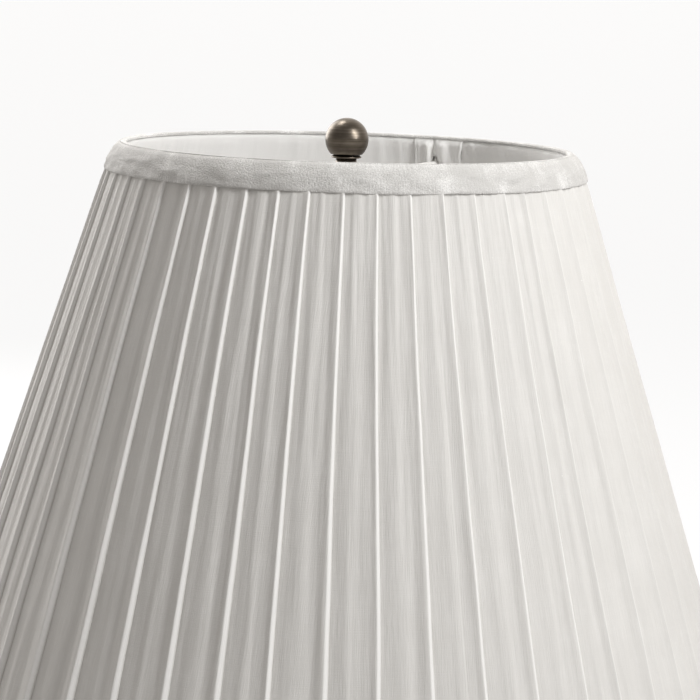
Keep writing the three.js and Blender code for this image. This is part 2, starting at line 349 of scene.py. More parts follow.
def swept(name, path, radius, material):
    """A round wire that follows a path of points."""
    bm = bmesh.new()
    heading = (path[1] - path[0]).normalized()
    place = Matrix.Translation(path[0]) @ heading.to_track_quat("Z", "Y").to_matrix().to_4x4()
    first = bmesh.ops.create_circle(bm, cap_ends=True, radius=radius, segments=WIRE_SIDES,
                                    matrix=place)["verts"]
    edges = list({e for v in first for e in v.link_edges})
    for i in range(1, len(path)):
        onward = (path[min(i + 1, len(path) - 1)] - path[i - 1]).normalized()
        moved = bmesh.ops.extrude_edge_only(bm, edges=edges)["geom"]
        verts = [g for g in moved if isinstance(g, bmesh.types.BMVert)]
        edges = [g for g in moved if isinstance(g, bmesh.types.BMEdge)]
        turn = heading.rotation_difference(onward).to_matrix()
        bmesh.ops.translate(bm, verts=verts, vec=path[i] - path[i - 1])
        bmesh.ops.rotate(bm, verts=verts, cent=path[i], matrix=turn)
        heading = onward
    bmesh.ops.contextual_create(bm, geom=edges)
    bmesh.ops.recalc_face_normals(bm, faces=bm.faces)
    return finished(name, bm, material)


# ---- Materials ----

class Finish:
    """A material's node tree, with short ways to add and join its nodes."""

    def __init__(self, name):
        self.material = bpy.data.materials.new(name)
        self.material.use_nodes = True
        self.nodes = self.material.node_tree.nodes
        self.links = self.material.node_tree.links
        self.shader = self.nodes["Principled BSDF"]

    def add(self, kind, **values):
        node = self.nodes.new(kind)
        for key, value in values.items():
            setattr(node, key, value)
        return node

    def join(self, out, into):
        self.links.new(out, into)

    def math(self, operation, a, b=0.0):
        node = self.add("ShaderNodeMath", operation=operation)
        for socket, value in zip(node.inputs, (a, b)):
            if isinstance(value, (int, float)):
                socket.default_value = value
            else:
                self.join(value, socket)
        return node.outputs[0]

    def mapped(self, coordinates, scale):
        node = self.add("ShaderNodeMapping")
        node.inputs["Scale"].default_value = scale
        self.join(coordinates, node.inputs["Vector"])
        return node.outputs[0]

    def noise(self, coordinates, scale, detail=2.0, rough=0.5):
        node = self.add("ShaderNodeTexNoise")
        node.inputs["Scale"].default_value = scale
        node.inputs["Detail"].default_value = detail
        node.inputs["Roughness"].default_value = rough
        self.join(coordinates, node.inputs["Vector"])
        return node.outputs["Fac"]

    def ramp(self, value, stops):
        node = self.add("ShaderNodeValToRGB")
        while len(node.color_ramp.elements) < len(stops):
            node.color_ramp.elements.new(0.5)
        for element, (place, colour) in zip(node.color_ramp.elements, stops):
            element.position = place
            element.color = (*colour, 1)
        self.join(value, node.inputs[0])
        return node.outputs[0]

    def blend(self, value, low, high):
        node = self.add("ShaderNodeMapRange")
        node.inputs["To Min"].default_value = low
        node.inputs["To Max"].default_value = high
        self.join(value, node.inputs["Value"])
        return node.outputs[0]

    def bump(self, height, strength, distance, under=None):
        node = self.add("ShaderNodeBump")
        node.inputs["Strength"].default_value = strength
        node.inputs["Distance"].default_value = distance
        self.join(height, node.inputs["Height"])
        if under is not None:
            self.join(under, node.inputs["Normal"])
        return node.outputs[0]

    def set(self, **values):
        for key, value in values.items():
            self.shader.inputs[key.replace("_", " ")].default_value = value


# Woven cloth. Scales are noise features per metre, or per thread where they follow the weave.
SLUB_STRETCH = 0.035
SLUB_SCALE = 0.9
UPRIGHT_SLUBS = 1.3
LEVEL_SLUBS = 0.35
CLOUD_SCALE = 28
FUZZ_SCALE = 1.6
FUZZ_MIDDLE = 0.5
NAP_PATCHES = 60
NAP_FIBRES = 1300
NAP_TUFTS = 1000
NAP_DEPTH = 0.9 * MM
SLUB_DEPTH = 0.30 * MM
WEAVE_DEPTH = 0.07 * MM
WEAVE_STRENGTH = 0.55
CLOTH_ROUGHNESS = (0.82, 0.98)
# How much each thing lightens or darkens the cloth, and where its tones begin and end.
SLUB_TONE = 0.30
CLOUD_TONE = 0.3
FUZZ_TONE = 0.35
SHADE_AT, LIGHT_AT = 0.36, 0.66
LINT_SCALE = 38
LINT_STRETCH = 1.6
LINT_SIZE = 0.018
LINT_COLOUR = (0.86, 0.85, 0.82, 1)
# The paler cloth painted on the fold edges: partly pressed wear, partly a painted highlight where light
# catches them.
WORN_AND_LIT_CLOTH = (0.96, 0.955, 0.94, 1)
WEAR_AND_HIGHLIGHT_STRENGTH = 0.8


def weave_height(finish, uv, thread):
    """A plain weave of crossing threads."""
    split = finish.add("ShaderNodeSeparateXYZ")
    finish.join(uv, split.inputs[0])
    turns = math.pi / thread
    warp = finish.math("SINE", finish.math("MULTIPLY", split.outputs[0], turns))
    weft = finish.math("SINE", finish.math("MULTIPLY", split.outputs[1], turns))
    return finish.math("ABSOLUTE", finish.math("MULTIPLY", warp, weft))


def slub_height(finish, uv, thread):
    """Thick places along the threads, most of them upright."""
    across, along = 1 / thread, SLUB_STRETCH / thread
    upright = finish.noise(finish.mapped(uv, (across, along, 1)), SLUB_SCALE, 3)
    level = finish.noise(finish.mapped(uv, (along, across, 1)), SLUB_SCALE, 3)
    return finish.math("ADD", finish.math("MULTIPLY", upright, UPRIGHT_SLUBS),
                       finish.math("MULTIPLY", level, LEVEL_SLUBS))


def cloth_tone(finish, uv, slubs, fuzz, nap):
    """How light the cloth is from place to place."""
    clouds = finish.noise(uv, CLOUD_SCALE, 3, 0.6)
    tone = finish.math("ADD", finish.math("MULTIPLY", slubs, SLUB_TONE),
                       finish.math("MULTIPLY", clouds, CLOUD_TONE))
    specks = finish.math("SUBTRACT", fuzz, FUZZ_MIDDLE)
    tone = finish.math("ADD", tone, finish.math("MULTIPLY", specks, FUZZ_TONE))
    if nap:
        patches = finish.noise(uv, NAP_PATCHES, 3, 0.6)
        brushed = finish.math("ADD", patches, finish.noise(uv, NAP_FIBRES, 2, 0.7))
        uneven = finish.math("SUBTRACT", brushed, 2 * FUZZ_MIDDLE)
        tone = finish.math("ADD", tone, finish.math("MULTIPLY", uneven, nap))
    return tone


def with_lint(finish, uv, colour):
    """Adds stray lint to a colour."""
    lint = finish.add("ShaderNodeTexVoronoi", feature="F1")
    lint.inputs["Scale"].default_value = LINT_SCALE
    finish.join(finish.mapped(uv, (1, LINT_STRETCH, 1)), lint.inputs["Vector"])
    mix = finish.add("ShaderNodeMix", data_type="RGBA")
    finish.join(finish.math("LESS_THAN", lint.outputs["Distance"], LINT_SIZE), mix.inputs["Factor"])
    finish.join(colour, mix.inputs["A"])
    mix.inputs["B"].default_value = LINT_COLOUR
    return mix.outputs["Result"]


def with_rubbed_edges(finish, colour):
    """Makes a colour paler on the fold edges: partly pressed wear, partly a painted highlight."""
    wear_and_highlight_mask = finish.add("ShaderNodeAttribute", attribute_name="edge_wear_and_highlight").outputs["Fac"]
    mix = finish.add("ShaderNodeMix", data_type="RGBA")
    finish.join(finish.math("MULTIPLY", wear_and_highlight_mask, WEAR_AND_HIGHLIGHT_STRENGTH), mix.inputs["Factor"])
    finish.join(colour, mix.inputs["A"])
    mix.inputs["B"].default_value = WORN_AND_LIT_CLOTH
    return mix.outputs["Result"]


def woven(name, thread, shade, light, slub, sheen, nap=0.0):
    """A plain weave of that thread spacing, with slubs, stray lint, uneven bleaching and, where it
    has been brushed, a soft nap."""
    finish = Finish(name)
    uv = finish.add("ShaderNodeUVMap", uv_map="threads").outputs[0]
    weave = weave_height(finish, uv, thread)
    slubs = slub_height(finish, uv, thread)
    fuzz = finish.noise(uv, FUZZ_SCALE / thread, 2, 0.7)
    tone = cloth_tone(finish, uv, slubs, fuzz, nap)
    colour = finish.ramp(tone, [(SHADE_AT, shade), (LIGHT_AT, light)])
    # The linen's fold edges are painted paler: partly pressed wear, partly a painted highlight.
    colour = with_rubbed_edges(finish, with_lint(finish, uv, colour))
    finish.join(colour, finish.shader.inputs["Base Color"])
    finish.join(finish.blend(fuzz, *CLOTH_ROUGHNESS), finish.shader.inputs["Roughness"])
    deep = finish.bump(slubs, slub, SLUB_DEPTH)
    if nap:
        deep = finish.bump(finish.noise(uv, NAP_TUFTS, 3, 0.6), nap, NAP_DEPTH, deep)
    fine = finish.bump(finish.math("ADD", weave, fuzz), WEAVE_STRENGTH, WEAVE_DEPTH, deep)
    finish.join(fine, finish.shader.inputs["Normal"])
    finish.set(Sheen_Weight=sheen, Sheen_Roughness=0.5, Specular_IOR_Level=0.2)
    return finish.material


# The metal's lathe lines and bands, as noise stretched round the upright axis, its tarnish, and the
# wire's paint.
LATHE_LINES = (60, 60, 5200)
LATHE_BANDS = (25, 25, 900)
LATHE_DEPTH = 0.04 * MM
METAL_ROUGHNESS = (0.24, 0.42)
PAINT_ROUGHNESS = (0.32, 0.48)
PATINA_SCALE = 190
PEWTER_TONES = [(0.30, (0.070, 0.058, 0.045)), (0.52, (0.150, 0.128, 0.104)),
                (0.72, (0.290, 0.255, 0.215))]
PAINT_TONES = [(0.3, (0.74, 0.73, 0.70)), (0.7, (0.83, 0.82, 0.80))]
PEEL_SCALE = 900
PEEL_DEPTH = 0.05 * MM
DUST_SCALE = 70


def pewter():
    """Dark brushed metal with fine lathe lines round the upright axis."""
    finish = Finish("dark_brushed_pewter")
    place = finish.add("ShaderNodeTexCoord").outputs["Object"]
    lines = finish.noise(finish.mapped(place, LATHE_LINES), 1.0, 4, 0.65)
    bands = finish.noise(finish.mapped(place, LATHE_BANDS), 1.0, 2)
    patina = finish.noise(place, PATINA_SCALE, 4, 0.6)
    tone = finish.math("ADD", finish.math("MULTIPLY", lines, 0.5), finish.math("MULTIPLY", bands, 0.3))
    tone = finish.math("ADD", tone, finish.math("MULTIPLY", patina, 0.2))
    finish.join(finish.ramp(tone, PEWTER_TONES), finish.shader.inputs["Base Color"])
    finish.join(finish.blend(lines, *METAL_ROUGHNESS), finish.shader.inputs["Roughness"])
    finish.join(finish.bump(lines, 0.35, LATHE_DEPTH), finish.shader.inputs["Normal"])
    finish.set(Metallic=1.0, Anisotropic=0.35)
    return finish.material


def powder_coat():
    """White powder coat on wire, with its fine orange peel and a little dust."""
    finish = Finish("white_powder_coat")
    place = finish.add("ShaderNodeTexCoord").outputs["Object"]
    peel = finish.noise(place, PEEL_SCALE, 2)
    dust = finish.noise(place, DUST_SCALE, 4, 0.6)
    finish.join(finish.ramp(dust, PAINT_TONES), finish.shader.inputs["Base Color"])
    finish.join(finish.blend(dust, *PAINT_ROUGHNESS), finish.shader.inputs["Roughness"])
    finish.join(finish.bump(peel, 0.3, PEEL_DEPTH), finish.shader.inputs["Normal"])
    return finish.material


linen = woven("slub_linen", 0.45 * MM, (0.735, 0.722, 0.697), (0.840, 0.830, 0.808), 0.55, 0.10)
trim_cloth = woven("brushed_linen", 0.45 * MM, (0.65, 0.64, 0.62), (0.975, 0.967, 0.95), 0.25, 0.15, 0.75)
lining_cloth = woven("lining_cloth", 0.30 * MM, (0.93, 0.925, 0.91), (0.985, 0.98, 0.97), 0.25, 0.15)
tape_cloth = woven("binding_tape", 0.50 * MM, (0.76, 0.75, 0.72), (0.84, 0.83, 0.80), 0.3, 0.05)
metal = pewter()
paint = powder_coat()


# ---- The pleated cover ----

def fold_place(fold, z):
    """How far a fold edge strays from its even place, as a share of a pleat's width."""
    number = fold % PLEATS
    steady = STRAY_FOLDS.get(number - PLEATS if number > PLEATS / 2 else number)
    if steady is None:
        steady = seeded("fold", number).uniform(-FOLD_JITTER, FOLD_JITTER)
    up = min(1, max(0, (z - TWIST_START * cover_high) / (TWIST_RUN * cover_high)))
    twist = FOLD_TWIST * up * up
    wander = FOLD_WANDER * (drift(number, z * 9) + 0.6 * drift(number, z * 31))
    return FOLD_LEAN + steady + twist + wander


def settled(z):
    """How far the stretched cover sinks in from its pattern between the two rings."""
    ends = min(z - cover_low, cover_high - z)
    return SINK * min(1, ends / SINK_RISE)


def pressed(z):
    """How much of their depth the pleats keep: all of it in the open, less under the trims."""
    under = TRIM_HEIGHT + PRESS_AHEAD - min(z, shade_top - z)
    return 1 - PRESSED_FLAT * min(1, max(0, under / PRESS_RUN))


def pleat_section(pleat, z):
    """One pleat across its width, as (angle, radius, rub) points: out of the crease, over the face
    to the fold edge, round it and back under as a flat underlay. rub is 1 on the fold edge, which is
    painted paler: partly pressed wear, partly a painted highlight."""
    width = math.tau / PLEATS * fold_line(z)
    under = (CLOTH_PER_PLEAT - width) / 2 / width
    depth = (fold_line(z) - cover_back(z) - LINEN_THICKNESS / 2) * pressed(z)
    number = pleat % PLEATS
    mood = seeded("pleat", number)
    crown = mood.uniform(*CROWN) + CROWN_DRIFT * drift(100 + number, z * 11)
    crown_at = mood.uniform(*CROWN_AT) + CROWN_SWAY * drift(200 + number, z * 8)
    dip = crown - mood.uniform(*DIP)
    edge = mood.uniform(*EDGE) - EDGE_DRIFT * abs(drift(300 + number, z * 14))
    lip = LIP - LIP_SHRINK * (1 - z / cover_high)
    slack = (dip + edge) / 2 - SLACK
    face = [
        (0.045, 0.15), (0.11, 0.22), (crown_at - 0.14, 0.70 * crown), (crown_at - 0.04, crown),
        (crown_at + 0.03, crown), (crown_at + 0.12, 0.86 * crown), (0.64, dip), (0.74, dip + 0.03),
        (0.83, slack), (lip - 0.07, edge - 0.10), (lip - 0.025, edge + 0.02),
    ]
    # The fold edge, painted paler in the cloth: partly pressed wear, partly a painted highlight.
    edge_wear_and_highlight = [(lip, edge), (1.012, 0.52)]
    underlay = [
        (1.020, 0.36), (1.035, 0.27), (1.015, 0.21), (1 - under / 2, 0.19), (1 - under, 0.17),
        (1 - under, 0.08), (1 - under / 2, 0.07),
    ]
    left, right = fold_place(pleat, z), fold_place(pleat + 1, z)
    back = cover_back(z) + LINEN_THICKNESS / 2 - settled(z)
    section = []
    for points, wear_and_highlight in ((face, 0), (edge_wear_and_highlight, 1), (underlay, 0)):
        for share, height in points:
            stray = left * (1 - share) + right * share
            angle = FIRST_FOLD + (pleat + share + stray) * 360 / PLEATS
            section.append((angle, back + height * depth, wear_and_highlight))
    return section


def streaks(angle, z):
    """How far the linen's soft upright creases lift it."""
    return sum(depth * drift(layer, angle * around, z * up) for depth, layer, around, up in CREASES)


def pleat_heights():
    """Heights of the rows of a pleated panel: even between the hems, closer under the trims."""
    low, high = TRIM_HEIGHT, shade_top - TRIM_HEIGHT
    between = [low + (high - low) * j / PLEAT_ROWS for j in range(PLEAT_ROWS + 1)]
    tucks = [share * PRESS_RUN for share in (0.5, 1)]
    return ([cover_low] + [low - tuck for tuck in reversed(tucks)] + between
            + [high + tuck for tuck in tucks] + [cover_high])


def linen_panel(index):
    """One width of the pleated cover, with its share of the pleats."""
    rows, edge_wear_and_highlights = [], []
    count = PLEATS // PANELS
    for z in pleat_heights():
        before = pleat_section(index * count - 1, z)[-1:]
        line = before + [p for i in range(count) for p in pleat_section(index * count + i, z)][:-1]
        line = softened(line)
        rows.append([at(angle, radius + streaks(angle, z), z) for angle, radius, _ in line])
        edge_wear_and_highlights.append([wear_and_highlight for _, _, wear_and_highlight in line])
    return cloth(f"linen_panel_{index + 1}", rows, LINEN_THICKNESS, linen, edge_wear_and_highlights=edge_wear_and_highlights, even=False)


# ---- The trims ----

def wall_at(z, off):
    """Radius of the cone through the fold edges at that height, moved outwards by off."""
    return fold_line(z) + off * slant


def trim_section(face, inward, least):
    """Section of a rolled trim as (radius, height) points, from its hidden turned-in edge round
    the hem, up its wall, over the ring and down its short inner leg."""
    hem = face + inward * TRIM_HEIGHT
    inner = face + inward * TRIM_LEG
    tucked = hem - inward * TRIM_TURN
    middle = (hem + face) / 2
    return [
        (wall_at(tucked, TRIM_OFF_FOLDS), tucked),
        (wall_at(hem, TRIM_OFF_FOLDS), hem - inward * 1.0 * MM),
        (wall_at(hem, TRIM_OFF_FOLDS), hem),
        (wall_at(hem, TRIM_PROUD), hem),
        (wall_at(hem, TRIM_PROUD), hem - inward * 1.2 * MM),
        (wall_at(middle, TRIM_PROUD + 0.2 * MM), middle),
        (wall_at(face + inward * 5 * MM, TRIM_PROUD - 0.2 * MM), face + inward * 5 * MM),
        (wall_at(face + inward * 1 * MM, TRIM_PROUD - 1.7 * MM), face + inward * 1 * MM),
        (wall_at(face, TRIM_PROUD) - 4.2 * MM, face),
        (least + 3.6 * MM, face),
        (least + 0.2 * MM, face),
        (least, face + inward * 0.8 * MM),
        (least, inner),
    ]


def bump_near(share, peak, width):
    """A hill of height one at peak along a section."""
    return max(0.0, 1 - abs(share - peak) / width)


def round_noise(seed, angle, wide, layer):
    """Noise that joins up with itself round the shade."""
    turn = math.radians(angle)
    return noise.noise(Vector((math.cos(turn) * wide, math.sin(turn) * wide, seed + layer)))


def trim_shift(seed, angle, share):
    """How far a trim's cloth lies out from and above its plain section, at a share of its length."""
    wall_share = math.sin(math.pi * min(1, share / WALL_SHARE)) ** 2
    puff = sum(depth * round_noise(seed, angle, wide, layer + share * tall)
               for depth, wide, tall, layer in TRIM_DENTS)
    lap = min(1.0, max(0.0, angle - LAP_START) / LAP_RISE) * (share < LAP_SHARE)
    rise = 0.8 * MM * max(0, round_noise(seed, angle, 8, 11)) * bump_near(share, 0.60, 0.25)
    wave = 0.5 * round_noise(seed, angle, 3.1, 17) + 0.22 * round_noise(seed, angle, 9, 19)
    sag = wave * MM * bump_near(share, 0.13, 0.14)
    return puff * wall_share + TRIM_LAP * lap, rise + sag


def trim(name, node, face, inward, seed):
    """A strip of cloth rolled over one end of the cover. inward is -1 at the top and 1 at the bottom."""
    outside = face + inward * TRIM_THICKNESS / 2
    section = softened(trim_section(outside, inward, reach(node, min)))
    lengths = np.linalg.norm(np.diff(section, axis=0), axis=1)
    shares = np.concatenate([[0], np.cumsum(lengths)]) / lengths.sum()
    rows = []
    for (radius, z), share in zip(section, shares):
        row = []
        for i in range(TRIM_STEPS + 1):
            angle = TRIM_SEAM + (360 + TRIM_OVERLAP) * i / TRIM_STEPS
            out, up = trim_shift(seed, angle, share)
            row.append(at(angle, radius + out, z + inward * up))
        rows.append(row)
    if inward > 0:
        rows.reverse()
    return cloth(name, rows, TRIM_THICKNESS, trim_cloth)


# ---- The lining and the neateners ----

def arm_centre(index):
    """Where a spider arm passes through the lining: its angle and height."""
    low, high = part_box(f"spider_arm_{index + 1}")
    return ARM_ANGLES[index], low.z + WIRE / 2


def lining_radius(z):
    """Radius of the smooth lining. It runs up its cone and slips behind each trim's inner leg."""
    behind = (top_leg if z > lining_high / 2 else bottom_leg) + TRIM_THICKNESS + LINING_THICKNESS
    ends = min(z, shade_top - z)
    cone = lining_face(z) + LINING_CLEAR
    return max(cone, behind) if ends < TRIM_LEG + 1 * MM else cone


def gathers(angle, z):
    """How far the lining's gathers under a ring stand in from its smooth cone."""
    below = min(shade_top - TRIM_LEG - z, z - TRIM_LEG) / MM
    if below < 0:
        return 0.0
    near = math.exp(-below / GATHER_FADE) * min(1, below / 3 + 0.25)
    away = min(abs((angle - arm + 180) % 360 - 180) for arm in ARM_ANGLES)
    pull = math.exp(-(away / PULL_SPREAD) ** 2) * (z > lining_high / 2)
    wide = ridge(61, angle * 0.16, z * 4)
    tight = ridge(62, angle * 0.55, z * 9)
    slack = GATHER_SLACK * ridge(63, angle * 0.08, z * 6)
    return MM * (near * (GATHER_WIDE * wide + (GATHER_TIGHT + GATHER_PULL * pull) * tight) + slack)


def lining_half(index):
    """Half of the lining, seam to seam, with a slit where each arm passes through it."""
    start = FIRST_FOLD + 90 + 180 * index
    foot, head = LINING_TUCK, shade_top - LINING_TUCK
    rows = []
    for j in range(LINING_ROWS + 1):
        share = (j / LINING_ROWS) ** LINING_CROWDING
        z = foot + (head - foot) * share
        row = []
        for i in range(LINING_STEPS + 1):
            angle = start + 180 * i / LINING_STEPS
            row.append(at(angle, lining_radius(z) - gathers(angle, z), z))
        rows.append(row)
    holes = []
    for k in range(len(ARM_ANGLES)):
        angle, z = arm_centre(k)
        holes.append((at(angle, lining_face(z), z), ARM_HOLE))
    return cloth(f"lining_{index + 1}", rows, LINING_THICKNESS, lining_cloth, holes)


def neatener_path(rise):
    """Centre line of a neatener as (sideways, up) points from one top end round under the arm to the
    other. Its legs close up above the arm."""
    path = []
    for i in range(NEATENER_LEG_STEPS):
        up = 1 - i / NEATENER_LEG_STEPS
        path.append((-NEATENER_RADIUS + NEATENER_CLOSE * up * (2 - up), rise * up))
    for i in range(NEATENER_TURN_STEPS + 1):
        around = math.pi * (1 + i / NEATENER_TURN_STEPS)
        path.append((NEATENER_RADIUS * math.cos(around), NEATENER_RADIUS * math.sin(around)))
    return path + [(-x, y) for x, y in reversed(path[:NEATENER_LEG_STEPS])]


def hill(place, middle, width):
    """A smooth hill of height one."""
    return math.exp(-((place - middle) / width) ** 2)


def neatener_height(index, k, w):
    """How far a neatener stands off the lining, as a share, at step k of its length and w from -1 to 1
    across it: domed, with a rolled edge and a fold beside its middle."""
    dome = 0.5 * math.sqrt(max(0, 1 - w * w))
    roll = 0.65 * hill(w, -0.5, 0.32) + 0.35 * hill(w, 0.92, 0.12)
    crease = 0.20 * drift(80 + index, k * 0.10, w * 2.4) + 0.07 * drift(90 + index, k * 0.3, w * 6)
    return max(NEATENER_LEAST, dome + roll + crease)


def neatener_width(index, k, count):
    """Half the width of a neatener on its outer side. One end flares where it is sewn in."""
    flare = max(0, 1 - NEATENER_FLARE_FADE * k / count) ** 1.5
    wide = NEATENER_HALF_WIDTH + NEATENER_FLARE * flare
    return wide * (1 + NEATENER_WANDER * drift(70 + index, k * 0.2))


def neatener(index):
    """A soft folded strip that hugs the underside of an arm and runs up to the ring on both sides."""
    angle, z = arm_centre(index)
    rise = (shade_top - LINING_TUCK - NEATENER_CLEAR - z) * slant
    path = neatener_path(rise)
    rows = []
    for k, (x, y) in enumerate(path):
        before, after = path[max(0, k - 1)], path[min(len(path) - 1, k + 1)]
        heading = Vector((after[0] - before[0], after[1] - before[1])).normalized()
        side = Vector((heading.y, -heading.x))
        calm = min(1, max(0, (rise - TRIM_LEG - y) / NEATENER_SETTLE))
        wide = neatener_width(index, k, len(path))
        row = []
        for i in range(NEATENER_STEPS + 1):
            w = 2 * i / NEATENER_STEPS - 1
            off = (w + 1) / 2 * (NEATENER_HALF_WIDTH + wide) - NEATENER_HALF_WIDTH
            u, v = x + side.x * off, y + side.y * off
            puff = NEATENER_PUFF * calm * neatener_height(index, k, w)
            height = z + v / slant
            lining = lining_radius(height) - gathers(angle, height) * NEATENER_GATHERS
            here = lining - LINING_THICKNESS - puff
            row.append(at(angle + math.degrees(u / here), here, height))
        rows.append(row)
    return cloth(f"arm_neatener_strip_{index + 1}", rows, LINING_THICKNESS, lining_cloth)


# ---- The wire frame ----

def ring_line(node):
    """Radius and height of a ring wire's centre line."""
    low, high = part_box(node)
    return reach(node, max) - WIRE / 2, (low.z + high.z) / 2


top_radius, top_z = ring_line("top_ring")
bottom_radius, bottom_z = ring_line("bottom_ring")


def ring(name, radius, z):
    """A ring of round wire."""
    turns = [math.tau * i / RING_SIDES for i in range(RING_SIDES)]
    profile = [(radius + WIRE / 2 * math.cos(turn), z + WIRE / 2 * math.sin(turn)) for turn in turns]
    return turned(name, profile, paint, RING_STEPS)


def rib(index):
    """A straight wire between the two rings, which ends just short of each."""
    angle = FIRST_FOLD + index * 360 / RIBS
    low, high = at(angle, bottom_radius, bottom_z), at(angle, top_radius, top_z)
    along = (high - low).normalized() * (WIRE / 2 + FIT)
    return swept(f"rib_wire_{index + 1}", [low + along, high - along], RIB_RADIUS, paint)


def arm(index):
    """A spider arm: down from the ring beside the ribs, round a bend and level in to the washer."""
    angle, z = arm_centre(index)
    start = top_z - WIRE / 2 - FIT
    corner = Vector((top_radius + slope * (top_z - z), z))
    down = (Vector((top_radius + slope * (top_z - start), start)) - corner).normalized()
    level = Vector((-1, 0))
    half = down.angle(level) / 2
    centre = corner + (down + level).normalized() * (ARM_BEND / math.sin(half))
    tangent = ARM_BEND / math.tan(half)
    first = corner + down * tangent - centre
    last = corner + level * tangent - centre
    sweep = first.angle_signed(last)
    profile = [Vector((top_radius + slope * (top_z - start), start))]
    for i in range(BEND_STEPS + 1):
        turn = Matrix.Rotation(-sweep * i / BEND_STEPS, 2)
        profile.append(centre + turn @ first)
    profile.append(Vector((reach("spider_washer", min) + WIRE / 2, z)))
    path = [at(angle, p.x, p.y) for p in profile]
    return swept(f"arm_wire_{index + 1}", path, WIRE / 2, paint)


def ring_tape(name, radius, z, middle):
    """Cotton tape wound round a ring in slanting laps, open where the wires are welded on."""
    inner = WIRE / 2 + FIT + TAPE_CLEAR
    rows = []
    for j in range(TAPE_STEPS + 1):
        turn = math.radians(middle - TAPE_TURN / 2 + TAPE_TURN * j / TAPE_STEPS)
        row = []
        for i in range(TAPE_AROUND + 1):
            angle = 360 * i / TAPE_AROUND
            lap = (angle * TAPE_LAPS_PER_DEGREE + math.degrees(turn) / 360) % 1
            out = inner + TAPE_LAP * lap
            row.append(at(angle, radius + out * math.cos(turn), z + out * math.sin(turn)))
        rows.append(row)
    return cloth(name, rows, TAPE_THICKNESS, tape_cloth)


def washer():
    """The flat plate that the arms meet at, with a hole in its middle and broken edges."""
    low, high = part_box("spider_washer")
    hole, rim = reach("spider_washer", min), reach("spider_washer", max)
    edge = WASHER_EDGE
    return turned("washer_plate", [
        (hole + edge, low.z), (rim - edge, low.z), (rim, low.z + edge), (rim, high.z - edge),
        (rim - edge, high.z), (hole + edge, high.z), (hole, high.z - edge), (hole, low.z + edge),
    ], paint)


# ---- The finial ----

BUSH_SEAT = reach("finial_foot", min)


def ball():
    """The ball knob, hollow where the bush goes in, with a small broken edge round its flat."""
    low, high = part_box("finial_ball")
    radius = (high.x - low.x) / 2 * BALL_ROUND
    centre = high.z - radius
    start = math.asin((low.z - centre) / radius)
    middle = [p.z for p in points_of("finial_ball") if math.hypot(p.x, p.y) < BUSH_SEAT / 2]
    hollow = max(z for z in middle if z < centre)
    lip = radius * math.cos(start)
    profile = [(0, hollow), (BUSH_SEAT, hollow), (BUSH_SEAT, low.z), (lip - 0.5 * MM, low.z),
               (lip - 0.1 * MM, low.z + 0.12 * MM)]
    for i in range(1, BALL_STEPS + 1):
        turn = start + (math.pi / 2 - start) * i / BALL_STEPS
        out = radius * math.cos(turn) if i < BALL_STEPS else 0
        profile.append((out, centre + radius * math.sin(turn)))
    return turned("ball_knob", profile, metal, FINIAL_STEPS)


def collar():
    """The disc under the ball: a round bead between two narrow steps."""
    low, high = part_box("finial_collar")
    rim = reach("finial_collar", max)
    tall = high.z - low.z
    bead = COLLAR_BEAD * tall
    profile = [(BUSH_SEAT, low.z), (rim - 1.3 * MM, low.z), (rim - 1.0 * MM, low.z + 0.15 * tall)]
    for i in range(BEND_STEPS + 1):
        turn = math.radians(-80 + 160 * i / BEND_STEPS)
        profile.append((rim - bead + bead * math.cos(turn), low.z + 0.42 * tall + bead * math.sin(turn)))
    profile += [(rim - 0.6 * MM, low.z + 0.74 * tall), (rim - 0.9 * MM, low.z + 0.86 * tall),
                (rim - 1.3 * MM, high.z), (BUSH_SEAT, high.z)]
    return turned("collar_disc", profile, metal, FINIAL_STEPS)


def foot():
    """The foot: a rounded flange on the washer, a cove, a small ring and a straight neck."""
    low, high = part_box("finial_foot")
    rim = reach("finial_foot", max)
    cove, ledge = rim - 0.7 * MM, NECK_RADIUS + 0.35 * MM
    profile = [(BUSH_SEAT, low.z), (rim - 0.3 * MM, low.z), (rim, low.z + 0.3 * MM),
               (rim, low.z + 0.9 * MM), (rim - 0.35 * MM, low.z + 1.2 * MM)]
    for i in range(BEND_STEPS + 1):
        turn = math.radians(90 * i / BEND_STEPS)
        profile.append((cove - (cove - ledge) * math.sin(turn),
                        low.z + 1.25 * MM + 1.7 * MM * (1 - math.cos(turn))))
    ring_out = NECK_RADIUS + 0.5 * MM
    profile += [(ring_out, high.z - 2.2 * MM), (ring_out, high.z - 1.8 * MM),
                (NECK_RADIUS, high.z - 1.5 * MM), (NECK_RADIUS, high.z), (BUSH_SEAT, high.z)]
    return turned("foot_neck", profile, metal, FINIAL_STEPS)


def bush():
    """The threaded insert, with its thread as rings of the right pitch."""
    low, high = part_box("finial_bush")
    outer, bore = reach("finial_bush", max), BUSH_SEAT - FIT - THREAD_WALL
    top = low.z + BORE_DEPTH
    profile = [(outer, low.z + BUSH_EDGE), (outer, high.z - BUSH_EDGE), (outer - BUSH_EDGE, high.z),
               (0, high.z), (0, top), (bore, top)]
    for i in range(int(BORE_DEPTH / THREAD_PITCH)):
        crest = top - (i + 0.5) * THREAD_PITCH
        profile += [(bore + THREAD_DEPTH, crest + THREAD_PITCH / 4), (bore, crest - THREAD_PITCH / 4)]
    profile += [(bore + 0.3 * MM, low.z), (outer - BUSH_EDGE, low.z)]
    return turned("threaded_bush", profile, metal, BUSH_STEPS)


# ---- Making the pieces and hanging them on their bodies ----

def belongs(piece, body, slot, *nodes):
    """Says which body a piece rides on and the CAD nodes that it replaces. slot is not used."""
    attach(piece, body)
    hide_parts(*nodes)
    return piece


for i in range(PANELS):
    piece = belongs(linen_panel(i), "shade", "linen", f"pleated_panel_{i + 1}")

